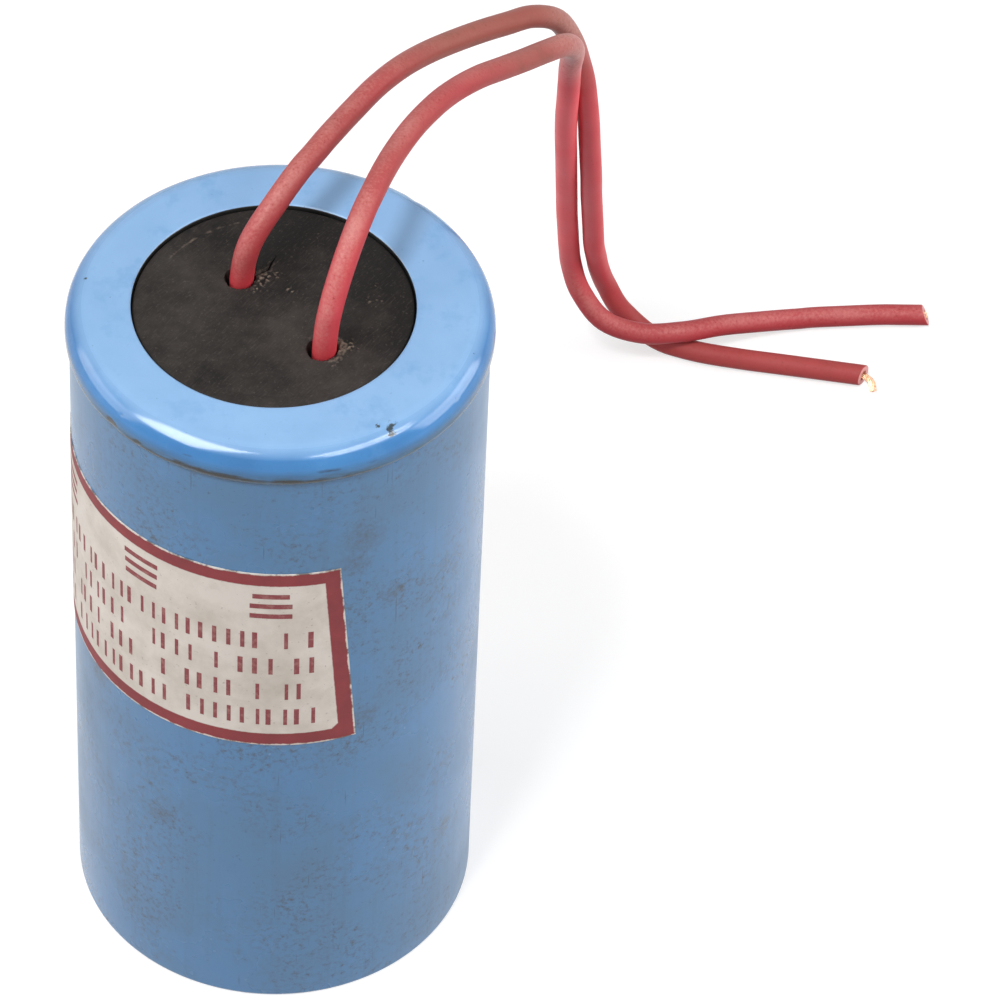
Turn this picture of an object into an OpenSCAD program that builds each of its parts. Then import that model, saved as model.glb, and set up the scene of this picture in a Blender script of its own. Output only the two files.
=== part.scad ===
// Motor run capacitor: a round moulded case with a press-on cap, a rubber sealing disc
// and two insulated leads, with the film winding and its connections potted inside.
// Units are millimetres. The base stands on z = 0, centred on the origin.

/* [Case] */
// Outside diameter of the case
case_d = 50; // [40:0.5:64]
// Height from the base to the top of the cap
case_h = 98.5; // [80:0.5:130]
// Wall of the case
case_wall = 2; // [1.6:0.1:2.4]
// Floor of the case
case_floor = 2.5; // [1.5:0.1:4]
// Rounding of the bottom edge
foot_r = 0.6; // [0.2:0.1:1.2]
// Fillet inside, between the floor and the wall
inside_fillet_r = 1.2; // [0.5:0.1:1.6]

/* [Cap] */
// How far the cap's band stands proud of the case
cap_proud = 0.5; // [0.3:0.05:1]
// Height of the cap's band
cap_band_h = 4.4; // [4:0.1:7]
// Thickness of the cap's top
cap_t = 2; // [1.5:0.1:2.5]
// Radius of the cap's shoulder
cap_shoulder_r = 3; // [1.5:0.1:3.2]
// Height of the tucked-in lower edge of the band
cap_tuck_h = 0.7; // [0.3:0.1:1]
// How far the band's lower edge tucks in
cap_tuck = 0.3; // [0.1:0.05:0.5]
// Width of the cap's top, from the aperture to the band
cap_top_w = 8.7; // [7:0.1:10.5]
// Sideways shift of the aperture
aperture_x = -0.8; // [-1:0.1:1]
// Rounding of the aperture's edge
aperture_edge_r = 0.4; // [0.2:0.1:0.8]
// Thickness of the case's mouth where the cap is pressed over it
mouth_wall = 1.2; // [0.8:0.1:1.4]
// Clearance between the cap and the mouth
cap_clearance = 0.05; // [0.02:0.01:0.15]

/* [Sealing disc] */
// Thickness of the flange that the cap holds down
disc_flange_t = 2; // [1:0.1:3]
// Depth of the disc's face below the top of the cap
disc_recess = 0.45; // [0.2:0.05:1]
// Clearance of the disc in the aperture and in the case
disc_clearance = 0.12; // [0.05:0.01:0.3]
// Rounding of the disc's top edge
disc_edge_r = 0.35; // [0.1:0.05:0.6]
// Distance of the moulded ring line from the disc's edge
ring_line_inset = 2.2; // [1.5:0.1:4]
// Width of the moulded ring line
ring_line_w = 0.5; // [0.3:0.05:1]
// Depth of the moulded ring line
ring_line_depth = 0.1; // [0.05:0.05:0.4]

/* [Label] */
// Height of the paper label
label_h = 30.4; // [20:0.1:40]
// Distance of the label's upper edge below the cap
label_drop = 15.5; // [5:0.1:25]
// Angle that the label covers round the case
label_angle = 142; // [90:1:300]
// Angle of the label's right edge, from the front
label_right_edge = 20; // [0:1:45]
// Lean of the label's right edge
label_lean = 4.4; // [0:0.1:8]
// Thickness of the label
label_t = 0.1; // [0.06:0.01:0.2]
// Thickness of the glue behind the label
label_glue = 0.01; // [0.01:0.01:0.05]

/* [Leads] */
// Outside diameter of a lead's insulation
lead_d = 2.9; // [2:0.05:2.95]
// Diameter of a lead's conductor
conductor_d = 1.3; // [0.8:0.05:1.6]
// Clearance round a lead in the sealing disc
lead_hole_clearance = 0.35; // [0.1:0.05:0.6]
// Place of the left lead, sideways
lead_left_x = -4.6; // [-7:0.1:-4]
// Place of the left lead, front to back
lead_left_y = 4.6; // [2:0.1:6]
// Place of the right lead, sideways
lead_right_x = 5.2; // [4:0.1:8]
// Place of the right lead, front to back
lead_right_y = -7.1; // [-9:0.1:-5]
// Height above the top card at which a lead's insulation ends
lead_strip_h = 6; // [4.5:0.1:9]

/* [Winding] */
// Thickness of the resin between the wrapped winding and the case
resin_wall = 2.95; // [2:0.05:4]
// Height of the resin between the top card and the sealing disc
resin_head = 14.6; // [12:0.1:20]
// Outside diameter of the core tube
core_d = 6.4; // [5:0.2:7]
// Wall of the core tube
core_wall = 1.2; // [0.8:0.1:1.6]
// Thickness of the metal sprayed on each end
spray_t = 0.8; // [0.4:0.1:1.5]
// Thickness of the film wrapped round the winding
wrap_t = 0.5; // [0.2:0.1:0.8]
// Thickness of the pad under the winding
pad_t = 1.5; // [1.2:0.1:3]
// Thickness of the card on the winding
card_t = 1; // [0.5:0.1:2]
// Thickness of the riser strip
strip_t = 0.3; // [0.2:0.05:0.5]
// Width of the riser strip
strip_w = 6; // [4:0.5:7]
// Radius of a solder joint
solder_r = 2.6; // [2:0.1:3]
// Height of a solder joint on the top
solder_h = 2.2; // [1.5:0.1:3]
// Height of the solder joint under the winding
bottom_solder_h = 1; // [0.6:0.1:1.1]
// Margin of the windows round the solder joints
solder_window_margin = 0.5; // [0.2:0.1:1]
// Clearance between the inner pieces
inner_clearance = 0.05; // [0.02:0.01:0.1]

/* [Hidden] */
$fn = 96;

// Overshoot of a cutting tool past the face it cuts
over = 1;
case_blue = "#6f93ba";
cap_blue = "#86b2df";
rubber_black = "#403b38";
lead_red = "#b9575a";
copper = "#b87345";
solder_grey = "#a7a9a8";

// Radii of the case and of what fits it
case_r = case_d / 2;
bore_r = case_r - case_wall;
mouth_r = bore_r + mouth_wall;
skirt_inner_r = mouth_r + cap_clearance;
cap_r = case_r + cap_proud;
aperture_r = cap_r - cap_top_w;
boss_r = aperture_r - disc_clearance;
flange_r = bore_r - disc_clearance;

// Heights from the top down
cap_low_z = case_h - cap_band_h;
cap_under_z = case_h - cap_t;
disc_top_z = case_h - disc_recess;
disc_low_z = cap_under_z - disc_flange_t;
label_z = cap_low_z - label_drop - label_h;

// Heights of the winding's stack: up from the floor, down from the resin, and the winding between them
pad_top_z = case_floor + pad_t;
bottom_spray_z = pad_top_z + strip_t;
winding_z = bottom_spray_z + spray_t;
card_top_z = disc_low_z - resin_head;
card_z = card_top_z - card_t;
top_spray_z = card_z - spray_t;
winding_h = top_spray_z - winding_z;
strip_top_z = card_top_z + strip_t;
insulation_end_z = card_top_z + lead_strip_h;

// Radii of the winding and of what lies round it
wrap_r = bore_r - resin_wall;
wrap_inner_r = wrap_r - wrap_t;
winding_r = wrap_inner_r - inner_clearance;
strip_inner_r = wrap_r + inner_clearance;
strip_outer_r = strip_inner_r + strip_t;
solder_window_r = solder_r + solder_window_margin;
lead_r = lead_d / 2;
conductor_r = conductor_d / 2;
lead_hole_r = lead_r + lead_hole_clearance;

// The strip's upper leg ends below the right lead, and its lower leg starts at the core
strip_turn = atan2(lead_right_y, lead_right_x);
strip_lead_reach = norm([lead_right_x, lead_right_y]);
strip_top_start = strip_lead_reach - strip_w / 2;
strip_bottom_start = core_d / 2;
strip_bottom_reach = strip_bottom_start + strip_w / 2;

// Route of the left lead: up out of the disc, over the back of the cap, down behind and along the ground
lead_left_route = [
    [lead_left_x, lead_left_y, insulation_end_z], [lead_left_x, lead_left_y, 93],
    [lead_left_x, lead_left_y, 98.6], [-3.6, 4.9, 103.9], [-0.5, 7.4, 108.4], [2.7, 11.8, 110.3],
    [5.7, 17, 110.1], [8.4, 22.2, 109.2], [11.2, 27.4, 108.2], [14.2, 32.3, 106.8], [17.3, 37, 104.8],
    [20.7, 41.4, 102.7], [24.1, 45.7, 100.4], [27.4, 49.9, 97.9], [30.8, 54.1, 95.3], [34.1, 57.4, 91.7],
    [36.2, 59.4, 86.5], [37.4, 61.4, 81], [38.3, 63.6, 75.6], [38.9, 65.7, 70], [39.4, 68, 64.6],
    [39.8, 70.2, 59.1], [40.2, 72.4, 53.6], [40.6, 74.6, 48], [40.9, 77, 42.6], [41.3, 79.4, 37.2],
    [41.7, 81.8, 31.7], [42.1, 84.2, 26.3], [42.7, 87.1, 21.2], [43.4, 89.9, 16], [44.7, 92.1, 10.6],
    [47.4, 92.2, 5.3], [52, 90.5, 1.9], [57.5, 88.5, 1.5], [63.3, 87.2, 1.5], [69.2, 86.2, 1.5],
    [75.1, 85.2, 1.5], [80.9, 84.2, 1.5]
];
// Route of the right lead, which lies over the left one where they cross on the ground
lead_right_route = [
    [lead_right_x, lead_right_y, insulation_end_z], [lead_right_x, lead_right_y, 93],
    [lead_right_x, lead_right_y, 98.6], [5.8, -7, 104.6], [7.3, -4.8, 110], [9.3, -0.1, 113.2],
    [11.3, 5.6, 113.6], [13.2, 11.2, 112.7], [15.5, 16.7, 111.7], [18.2, 22, 110.4], [20.7, 27, 108.2],
    [23.6, 31.8, 105.8], [26.6, 36.2, 103.2], [29.4, 40.8, 100.3], [32.2, 45.4, 97.5], [34.9, 49.9, 94.5],
    [36.1, 53.7, 90.1], [36, 56.6, 84.8], [36.1, 59.2, 79.3], [36.2, 61.9, 74], [36.3, 64.7, 68.6],
    [36.5, 67.3, 63.1], [36.8, 69.9, 57.7], [37.1, 72.6, 52.3], [37.4, 75.3, 46.9], [37.7, 77.9, 41.5],
    [38, 80.4, 36], [38.4, 82.9, 30.5], [38.8, 85.3, 25], [39.4, 87.3, 19.3], [40.9, 88, 13.5],
    [44.3, 87.4, 8.5], [49.7, 87.6, 5.9], [55.5, 89.1, 4.8], [60.9, 91.4, 3.8], [66.4, 93.6, 2.4],
    [72.1, 95.2, 1.5], [78.1, 95.8, 1.5], [84.2, 96.2, 1.5], [90.2, 96.2, 1.5]
];
// Route of the strands that stick out of the left lead's cut end, which leave it square to its face
strands_route = [[80.9, 84.2, 1.5], [81.7, 84.062, 1.5], [82.2, 83.3, 1.35], [82.3, 82, 1]];
lead_sides = 12;
first_side = [1, 0.2, 0];

// Sweep of a round bar along a route: tangents, a side direction carried along, rings and faces.
function unit(v) = v / norm(v);
function tangent(path, i) = unit(path[min(i + 1, len(path) - 1)] - path[max(i - 1, 0)]);
function square_to(v, t) = unit(v - (v * t) * t);
function side_at(path, i) =
    i == 0 ? square_to(first_side, tangent(path, 0)) : square_to(side_at(path, i - 1), tangent(path, i));
function ring_at(path, i, r, n) =
    let (t = tangent(path, i), s = side_at(path, i), b = cross(t, s))
    [for (k = [0 : n - 1]) path[i] + r * (cos(360 * k / n) * s + sin(360 * k / n) * b)];

module swept_bar(path, r, n) {
    rings = len(path);
    points = [for (i = [0 : rings - 1]) each ring_at(path, i, r, n)];
    start_face = [for (k = [0 : n - 1]) k];
    end_face = [for (k = [n - 1 : -1 : 0]) (rings - 1) * n + k];
    walls = [for (i = [0 : rings - 2], k = [0 : n - 1])
        let (a = i * n + k, b = i * n + (k + 1) % n)
        each [[a, a + n, b], [b, a + n, b + n]]];
    polyhedron(points, concat([start_face, end_face], walls), convexity = 10);
}

// Outline from the axis outwards, with its top or bottom outer corner rounded by a true arc
module rounded_post(r, z0, z1, corner_r, top) {
    corner_z = top ? z1 - corner_r : z0 + corner_r;
    edge_z = top ? corner_z : z0 - over;
    difference() {
        translate([0, z0]) square([r, z1 - z0]);
        difference() {
            translate([r - corner_r, edge_z]) square([corner_r + over, corner_r + over]);
            translate([r - corner_r, corner_z]) circle(corner_r);
        }
    }
}

// A drop of solder with a flat foot
module solder_drop(r, h) {
    sphere_r = (r * r + h * h) / (2 * h);
    rotate_extrude()
    intersection() {
        translate([0, h - sphere_r]) circle(sphere_r);
        square([r, h]);
    }
}

// A drop of solder that a lead's conductor runs down into
module lead_joint(x, y, z0) {
    color(solder_grey)
    translate([x, y, z0])
    difference() {
        solder_drop(solder_r, solder_h);
        translate([0, 0, -over]) cylinder(r = conductor_r, h = solder_h + 2 * over);
    }
}

module case_cup() {
    color(case_blue)
    rotate_extrude()
    difference() {
        union() {
            rounded_post(case_r, 0, cap_low_z, foot_r, false);
            translate([0, case_floor]) square([mouth_r, cap_under_z - case_floor]);
        }
        rounded_post(bore_r, case_floor, cap_under_z + over, inside_fillet_r, false);
    }
}

module cap_ring() {
    color(cap_blue)
    difference() {
        rotate_extrude()
        difference() {
            rounded_post(cap_r, cap_low_z, case_h, cap_shoulder_r, true);
            translate([0, cap_low_z - over]) square([skirt_inner_r, cap_under_z - cap_low_z + over]);
            polygon([
                [cap_r - cap_tuck, cap_low_z], [cap_r, cap_low_z + cap_tuck_h], [cap_r + over, cap_low_z]
            ]);
        }
        translate([aperture_x, 0, 0]) aperture_cutter();
    }
}

// The aperture with the rounding of its upper edge
module aperture_cutter() {
    translate([0, 0, cap_under_z - over]) cylinder(r = aperture_r, h = cap_t + 2 * over);
    rotate_extrude()
    difference() {
        translate([0, case_h - aperture_edge_r])
        square([aperture_r + aperture_edge_r, aperture_edge_r + over]);
        translate([aperture_r + aperture_edge_r, case_h - aperture_edge_r]) circle(aperture_edge_r);
    }
}

module sealing_disc() {
    color(rubber_black)
    difference() {
        union() {
            translate([0, 0, disc_low_z]) cylinder(r = flange_r, h = disc_flange_t);
            translate([aperture_x, 0, 0])
            rotate_extrude() rounded_post(boss_r, disc_low_z, disc_top_z, disc_edge_r, true);
        }
        translate([aperture_x, 0, disc_top_z - ring_line_depth])
        rotate_extrude()
        translate([boss_r - ring_line_inset, 0]) square([ring_line_w, ring_line_depth + over]);
        lead_holes(disc_low_z - over, disc_top_z + over, lead_hole_r);
    }
}

// Both leads' holes between two heights
module lead_holes(z0, z1, r) {
    for (place = [[lead_left_x, lead_left_y], [lead_right_x, lead_right_y]])
        translate([place[0], place[1], z0]) cylinder(r = r, h = z1 - z0);
}

// The paper follows the wall, and a slanting cut gives its right edge
module paper_label() {
    label_inner_r = case_r + label_glue;
    spare_angle = 10;
    color("#cdc4bb")
    difference() {
        rotate([0, 0, label_right_edge - label_angle - 90])
        rotate_extrude(angle = label_angle + spare_angle)
        translate([label_inner_r, label_z]) square([label_t, label_h]);
        rotate([0, 0, label_right_edge])
        translate([0, -label_inner_r, label_z + label_h / 2])
        rotate([0, -label_lean, 0])
        translate([0, -case_r / 2, -label_h])
        cube([case_r, case_r, 2 * label_h]);
    }
}

module lead_left() {
    color(lead_red) swept_bar(lead_left_route, lead_r, lead_sides);
}

module lead_right() {
    color(lead_red) swept_bar(lead_right_route, lead_r, lead_sides);
}

module lead_left_strands() {
    color(copper) swept_bar(strands_route, conductor_r, lead_sides);
}

// The bare end of a lead's conductor, from its solder joint up to the insulation
module bare_tail(x, y, z0) {
    color(copper)
    translate([x, y, z0]) cylinder(r = conductor_r, h = insulation_end_z - z0);
}

module lead_left_tail() {
    bare_tail(lead_left_x, lead_left_y, card_z);
}

module lead_right_tail() {
    bare_tail(lead_right_x, lead_right_y, strip_top_z);
}

module film_winding() {
    color("#c9c6b8")
    translate([0, 0, winding_z])
    difference() {
        cylinder(r = winding_r, h = winding_h);
        translate([0, 0, -over]) cylinder(d = core_d + 2 * inner_clearance, h = winding_h + 2 * over);
    }
}

module core_tube() {
    color("#e8e4da")
    translate([0, 0, winding_z])
    difference() {
        cylinder(d = core_d, h = winding_h);
        translate([0, 0, -over]) cylinder(d = core_d - 2 * core_wall, h = winding_h + 2 * over);
    }
}

module end_spray(z) {
    color("#8d9092") translate([0, 0, z]) cylinder(r = winding_r, h = spray_t);
}

module top_end_spray() {
    end_spray(top_spray_z);
}

module bottom_end_spray() {
    end_spray(bottom_spray_z);
}

module outer_wrap() {
    color("#d8c98a")
    translate([0, 0, bottom_spray_z])
    difference() {
        cylinder(r = wrap_r, h = card_z - bottom_spray_z);
        translate([0, 0, -over]) cylinder(r = wrap_inner_r, h = card_z - bottom_spray_z + 2 * over);
    }
}

// Pad below the winding, with a window for the solder joint under the strip
module bottom_pad() {
    color("#6f5b3e")
    difference() {
        translate([0, 0, case_floor]) cylinder(r = wrap_r, h = pad_t);
        rotate([0, 0, strip_turn])
        translate([strip_bottom_reach, 0, case_floor - over])
        cylinder(r = solder_window_r, h = pad_t + 2 * over);
    }
}

// Card on the winding, with a window for the left lead's solder joint
module top_card() {
    color("#6f5b3e")
    difference() {
        translate([0, 0, card_z]) cylinder(r = wrap_r, h = card_t);
        translate([lead_left_x, lead_left_y, card_z - over])
        cylinder(r = solder_window_r, h = card_t + 2 * over);
    }
}

// Copper strip folded from the bottom end, up the side of the winding and over the card
module riser_strip() {
    color(copper)
    rotate([0, 0, strip_turn])
    translate([0, strip_w / 2, 0])
    rotate([90, 0, 0])
    linear_extrude(strip_w)
    polygon([
        [strip_bottom_start, pad_top_z], [strip_outer_r, pad_top_z], [strip_outer_r, strip_top_z],
        [strip_top_start, strip_top_z], [strip_top_start, card_top_z], [strip_inner_r, card_top_z],
        [strip_inner_r, bottom_spray_z], [strip_bottom_start, bottom_spray_z]
    ]);
}

module lead_left_solder() {
    lead_joint(lead_left_x, lead_left_y, card_z);
}

module lead_right_solder() {
    lead_joint(lead_right_x, lead_right_y, strip_top_z);
}

// This joint hangs below the strip, in the pad's window
module bottom_solder() {
    color(solder_grey)
    rotate([0, 0, strip_turn])
    translate([strip_bottom_reach, 0, pad_top_z])
    mirror([0, 0, 1]) solder_drop(solder_r, bottom_solder_h);
}

// Resin that fills the case round the winding, up to the sealing disc
module potting_compound() {
    pot_r = bore_r - inner_clearance;
    channel_w = strip_w + 2 * inner_clearance;
    channel_start = strip_top_start - inner_clearance;
    channel_end = strip_outer_r + inner_clearance;
    fillet_r = inside_fillet_r + inner_clearance;
    color("#4a3b2a")
    difference() {
        rotate_extrude() rounded_post(pot_r, case_floor, disc_low_z, fillet_r, false);
        translate([0, 0, case_floor - over])
        cylinder(r = wrap_r + inner_clearance, h = card_top_z - case_floor + over);
        rotate([0, 0, strip_turn])
        translate([channel_start, -channel_w / 2, case_floor - over])
        cube([channel_end - channel_start, channel_w, strip_top_z - case_floor + over]);
        solder_pocket(lead_left_x, lead_left_y, card_z);
        solder_pocket(lead_right_x, lead_right_y, strip_top_z);
        lead_holes(card_top_z, disc_low_z + over, lead_r + inner_clearance);
    }
}

// Room in the resin for a solder joint
module solder_pocket(x, y, z0) {
    translate([x, y, z0]) cylinder(r = solder_r + inner_clearance, h = solder_h + inner_clearance);
}

case_cup();
cap_ring();
sealing_disc();
paper_label();
lead_left();
lead_right();
lead_left_strands();
lead_left_tail();
lead_right_tail();
film_winding();
core_tube();
top_end_spray();
bottom_end_spray();
outer_wrap();
bottom_pad();
top_card();
riser_strip();
lead_left_solder();
lead_right_solder();
bottom_solder();
potting_compound();
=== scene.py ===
# %% [markdown]
# A motor run capacitor
# This lesson dresses a finished engineering model of a capacitor: a blue moulded can with a cap ring, a
# black rubber disc, a paper label and two red leads. The engineering model is loaded as a fixed frame.
# Every piece made here sits exactly where that frame says, so nothing is fitted by eye.

# %% Load the frame
import math

import bpy
from mathutils import Matrix, Vector, noise


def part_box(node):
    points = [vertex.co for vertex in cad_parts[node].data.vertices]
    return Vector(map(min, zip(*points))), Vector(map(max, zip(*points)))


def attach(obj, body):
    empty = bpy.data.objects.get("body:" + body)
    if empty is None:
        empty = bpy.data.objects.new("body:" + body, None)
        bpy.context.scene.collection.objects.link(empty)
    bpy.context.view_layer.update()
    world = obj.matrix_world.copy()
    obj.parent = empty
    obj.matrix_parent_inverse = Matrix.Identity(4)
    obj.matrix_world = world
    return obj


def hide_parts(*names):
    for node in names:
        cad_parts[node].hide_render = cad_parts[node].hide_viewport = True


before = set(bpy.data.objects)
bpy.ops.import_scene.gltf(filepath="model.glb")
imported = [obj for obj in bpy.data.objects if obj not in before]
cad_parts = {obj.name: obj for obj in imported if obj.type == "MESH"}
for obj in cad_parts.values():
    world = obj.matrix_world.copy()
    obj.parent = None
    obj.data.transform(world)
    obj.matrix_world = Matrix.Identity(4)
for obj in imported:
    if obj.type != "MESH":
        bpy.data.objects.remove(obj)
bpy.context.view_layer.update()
MM = 0.001

# %% [markdown]
# The sizes that several pieces share
# A size could be typed in again for each piece. Here it is read from the frame's own boxes, so that a piece
# always meets its neighbours. Sizes are in millimetres, and a mesh is made in metres.

# %% Read the shared sizes
CASE_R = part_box("case_cup")[1][0] / MM
CASE_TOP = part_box("case_cup")[1][2] / MM
CAP_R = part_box("cap_ring")[1][0] / MM
CAP_LOW, CAP_TOP = [corner[2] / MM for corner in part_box("cap_ring")]
DISC_LOW, DISC_TOP = [corner[2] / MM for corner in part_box("sealing_disc")]
print("case radius", round(CASE_R, 2), "mm, cap", round(CAP_LOW, 2), "to", round(CAP_TOP, 2), "mm")

# %% [markdown]
# Small helpers
# Colours are easier to think of as the hex codes of a paint program, but a shader wants linear light, so
# one function converts them. Another adds a shader node with its settings and its links in one call. A worn
# finish could be one large web of nodes. It is easier to read as coats laid over each other, as on the real
# thing, so one function lays a coat where a pattern says, and one ends the material with its roughness and
# relief.

# %% Helpers for colours and nodes
def linear(code):
    """A hex colour such as #ff8800 as linear red, green, blue and alpha."""
    channels = [int(code[i:i + 2], 16) / 255 for i in (1, 3, 5)]
    return [c / 12.92 if c <= 0.04045 else ((c + 0.055) / 1.055) ** 2.4 for c in channels] + [1.0]


def add(tree, kind, inputs=None, **settings):
    """A new node of that kind. An input is a node or a socket to link from, a hex colour or a plain value."""
    made = tree.nodes.new(kind)
    for name, value in settings.items():
        setattr(made, name, value)
    for socket, value in (inputs or {}).items():
        if isinstance(value, bpy.types.Node):
            value = next(output for output in value.outputs if output.enabled)
        if isinstance(value, bpy.types.NodeSocket):
            tree.links.new(value, made.inputs[socket])
        else:
            made.inputs[socket].default_value = linear(value) if isinstance(value, str) else value
    return made


def per_mm(size):
    """The texture scale whose features are about that many millimetres across."""
    return 1 / (size * MM)


def new_material(name):
    """An empty node material, its tree and the place on the object."""
    material = bpy.data.materials.new(name)
    material.use_nodes = True
    tree = material.node_tree
    tree.nodes.clear()
    return material, tree, add(tree, "ShaderNodeTexCoord").outputs["Object"]


def coat(tree, under, colour, pattern, start=0.0, full=1.0, most=1.0, least=0.0, times=None):
    """A colour over another by a pattern: least of it where that is at start, most of it where that is full.

    A second pattern, times, thins it further.
    """
    mask = add(tree, "ShaderNodeMapRange", {"Value": pattern, "From Min": start, "From Max": full,
                                            "To Min": least, "To Max": most})
    if times is not None:
        mask = add(tree, "ShaderNodeMath", {0: mask, 1: times}, operation="MULTIPLY")
    return add(tree, "ShaderNodeMix", {0: mask, 6: under, 7: colour}, data_type="RGBA")


def finish_material(material, tree, colour, rough, relief=None, sockets=None):
    """Ends a material with its colour, roughness and relief, and gives it back.

    Rough is a pattern, its two ends and the roughness at each.
    Relief is a pattern, its strength and its depth in millimetres.
    """
    pattern, start, full, low, high = rough
    given = {"Base Color": colour, **(sockets or {})}
    given["Roughness"] = add(tree, "ShaderNodeMapRange", {
        "Value": pattern, "From Min": start, "From Max": full, "To Min": low, "To Max": high})
    if relief:
        height, strength, depth = relief
        given["Normal"] = add(tree, "ShaderNodeBump", {
            "Height": height, "Strength": strength, "Distance": depth * MM})
    add(tree, "ShaderNodeOutputMaterial", {"Surface": add(tree, "ShaderNodeBsdfPrincipled", given)})
    print("material:", material.name)
    return material


# %% Helpers for meshes
def link(name, data):
    """A new object in the scene, at the origin."""
    made = bpy.data.objects.new(name, data)
    bpy.context.scene.collection.objects.link(made)
    return made


def smooth(mesh, sharp_degrees):
    """Shades a mesh smooth, apart from edges sharper than an angle."""
    mesh.shade_smooth()
    mesh.set_sharp_from_angle(angle=math.radians(sharp_degrees))


def mesh_piece(name, points, faces, material, sharp_degrees=35):
    """A smooth-shaded mesh object with its place in its points."""
    mesh = bpy.data.meshes.new(name)
    mesh.from_pydata(points, [], faces)
    mesh.update()
    smooth(mesh, sharp_degrees)
    mesh.materials.append(material)
    return link(name, mesh)


def paint(piece, attribute, values):
    """Keeps one number for each point of a mesh, for its material to read."""
    piece.data.attributes.new(attribute, "FLOAT", "POINT").data.foreach_set("value", values)


def place(piece, slot, *nodes):
    """A piece that rides on the can and stands for nodes of the frame, which are hidden. The slot is not
    used.
    """
    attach(piece, "root")
    if nodes:
        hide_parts(*nodes)


print("helpers ready")

# %% [markdown]
# The camera
# The photograph looks down on the can at about 47 degrees through a long lens from about 0.8 m away, a
# little rolled. Turning the camera in three plain steps (heading, tilt, roll) keeps each angle readable.

# %% Camera
CAMERA_PLACE = Vector((0, -0.5534, 0.6531))
CAMERA_LENS = 238.9
CAMERA_HEADING = 2.789
CAMERA_TILT = 46.697
CAMERA_ROLL = 2.681

camera_data = bpy.data.cameras.new("camera")
camera_data.sensor_width = 36
camera_data.lens = CAMERA_LENS
camera_data.clip_start = 0.05
camera_data.clip_end = 20
camera = link("camera", camera_data)
camera.matrix_world = (
    Matrix.Translation(CAMERA_PLACE)
    @ Matrix.Rotation(math.radians(-CAMERA_HEADING), 4, "Z")
    @ Matrix.Rotation(math.radians(90 - CAMERA_TILT), 4, "X")
    @ Matrix.Rotation(math.radians(CAMERA_ROLL), 4, "Z")
)
bpy.context.scene.camera = camera
print("camera at", [round(v, 3) for v in CAMERA_PLACE])

# %% [markdown]
# Floor and light
# The studio is plain: a pale floor, a soft white room, a soft box at the left, a strip at the right and a
# weak panel at each side. A small lamp high in front throws the leads' shadows on the cap, and a large low
# one fills the front. The long glints on the cap's shoulder come from two large panels that only
# reflections see, so a glint can be broad without more light on the can. The floor could be lit until it
# turns white, but that would burn out the can too. Instead the floor adds light of its own, only for what
# looks at it, so it is white and still keeps the can's shadow. Further out, where no lamp reaches, it adds
# more.

# %% Stage
FLOOR_HALF = 3.0
FLOOR_GLOW = 0.62
GLOW_FROM, GLOW_TO = 0.3, 1.1
ROOM_LIGHT = 0.16
LAMP_DISTANCE = 0.9
# Each lamp: angle from the front to the right, elevation, width, height, power and the rays that miss it.
LAMPS = {
    "panel_left": (-95, 18, 0.7, 0.5, 3.7, None),
    "panel_right": (92, 18, 0.7, 0.5, 5.6, None),
    "key_left": (-52, 54, 0.62, 0.17, 1.5, "glossy"),
    "strip_right": (50, 50, 0.85, 0.1, 1.3, "glossy"),
    "key_front": (-27, 63, 0.13, 0.13, 4.2, "glossy"),
    "fill_front": (10, 22, 0.9, 0.6, 1.55, "glossy"),
    "glint_left": (-61, 54, 0.5, 0.6, 12.7, "diffuse"),
    "glint_right": (50, 50, 0.62, 0.2, 8, "diffuse"),
}


def seen_mask(tree):
    """One for rays from the camera, a mirror or through glass, and none for light that bounces."""
    path = add(tree, "ShaderNodeLightPath").outputs
    seen = path["Is Camera Ray"]
    for other in ("Is Glossy Ray", "Is Transmission Ray"):
        seen = add(tree, "ShaderNodeMath", {0: seen, 1: path[other]}, operation="MAXIMUM")
    return seen


def floor_material():
    """Pale matt paper sweep."""
    material, tree, here = new_material("pale_paper_sweep")
    away = add(tree, "ShaderNodeVectorMath", {0: here}, operation="LENGTH")
    own = add(tree, "ShaderNodeMapRange", {
        "Value": away, "From Min": GLOW_FROM, "From Max": GLOW_TO, "To Min": FLOOR_GLOW, "To Max": 1.0})
    glow = add(tree, "ShaderNodeMath", {0: seen_mask(tree), 1: own}, operation="MULTIPLY")
    shader = add(tree, "ShaderNodeBsdfPrincipled",
                 {"Base Color": "#b4b4b4", "Roughness": 0.95, "Specular IOR Level": 0.0,
                  "Emission Color": "#ffffff", "Emission Strength": glow})
    add(tree, "ShaderNodeOutputMaterial", {"Surface": shader})
    return material


corners = [(x * FLOOR_HALF, y * FLOOR_HALF, 0) for x, y in ((-1, -1), (1, -1), (1, 1), (-1, 1))]
mesh_piece("floor", corners, [(0, 1, 2, 3)], floor_material())

world = bpy.data.worlds.new("white_room")
world.use_nodes = True
bpy.context.scene.world = world
room = world.node_tree
room.nodes.clear()
room_strength = add(room, "ShaderNodeMapRange", {
    "Value": seen_mask(room), "To Min": ROOM_LIGHT, "To Max": 1.0})
room_light = add(room, "ShaderNodeBackground", {"Color": "#ffffff", "Strength": room_strength})
add(room, "ShaderNodeOutputWorld", {"Surface": room_light})
bpy.context.scene.view_settings.view_transform = "Standard"

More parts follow.
